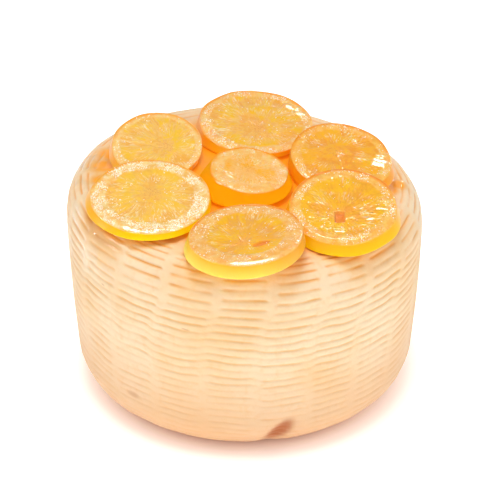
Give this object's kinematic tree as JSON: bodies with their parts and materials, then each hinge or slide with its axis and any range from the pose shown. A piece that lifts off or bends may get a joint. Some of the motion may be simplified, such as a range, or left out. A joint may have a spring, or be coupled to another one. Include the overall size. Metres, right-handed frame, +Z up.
{
  "type": "lemon cheese wheel",
  "caption": "Small basket-pressed cheese wheel with a woven rind, its top covered by overlapping glazed slices of candied citrus.",
  "frame": {"origin": "centre of the flat base, on the surface that the wheel stands on", "axes": "+Z up through the wheel's axis; -Y is the front, where a slice overhangs the shoulder; +X to the right seen from the front"},
  "size_m": [0.156, 0.164, 0.1114],
  "materials": {
    "cheese_rind": "moist cream-apricot rind with a soft sheen",
    "candied_citrus": "glossy translucent golden orange with sugar grains"
  },
  "bodies": {
    "root": {"cheese_wheel": "cheese_rind", "slice_back_left": "candied_citrus", "slice_back_mid": "candied_citrus", "slice_back_right": "candied_citrus", "slice_centre": "candied_citrus", "slice_front_left": "candied_citrus", "slice_front_right": "candied_citrus", "slice_front_mid": "candied_citrus"}
  },
  "joints": []
}
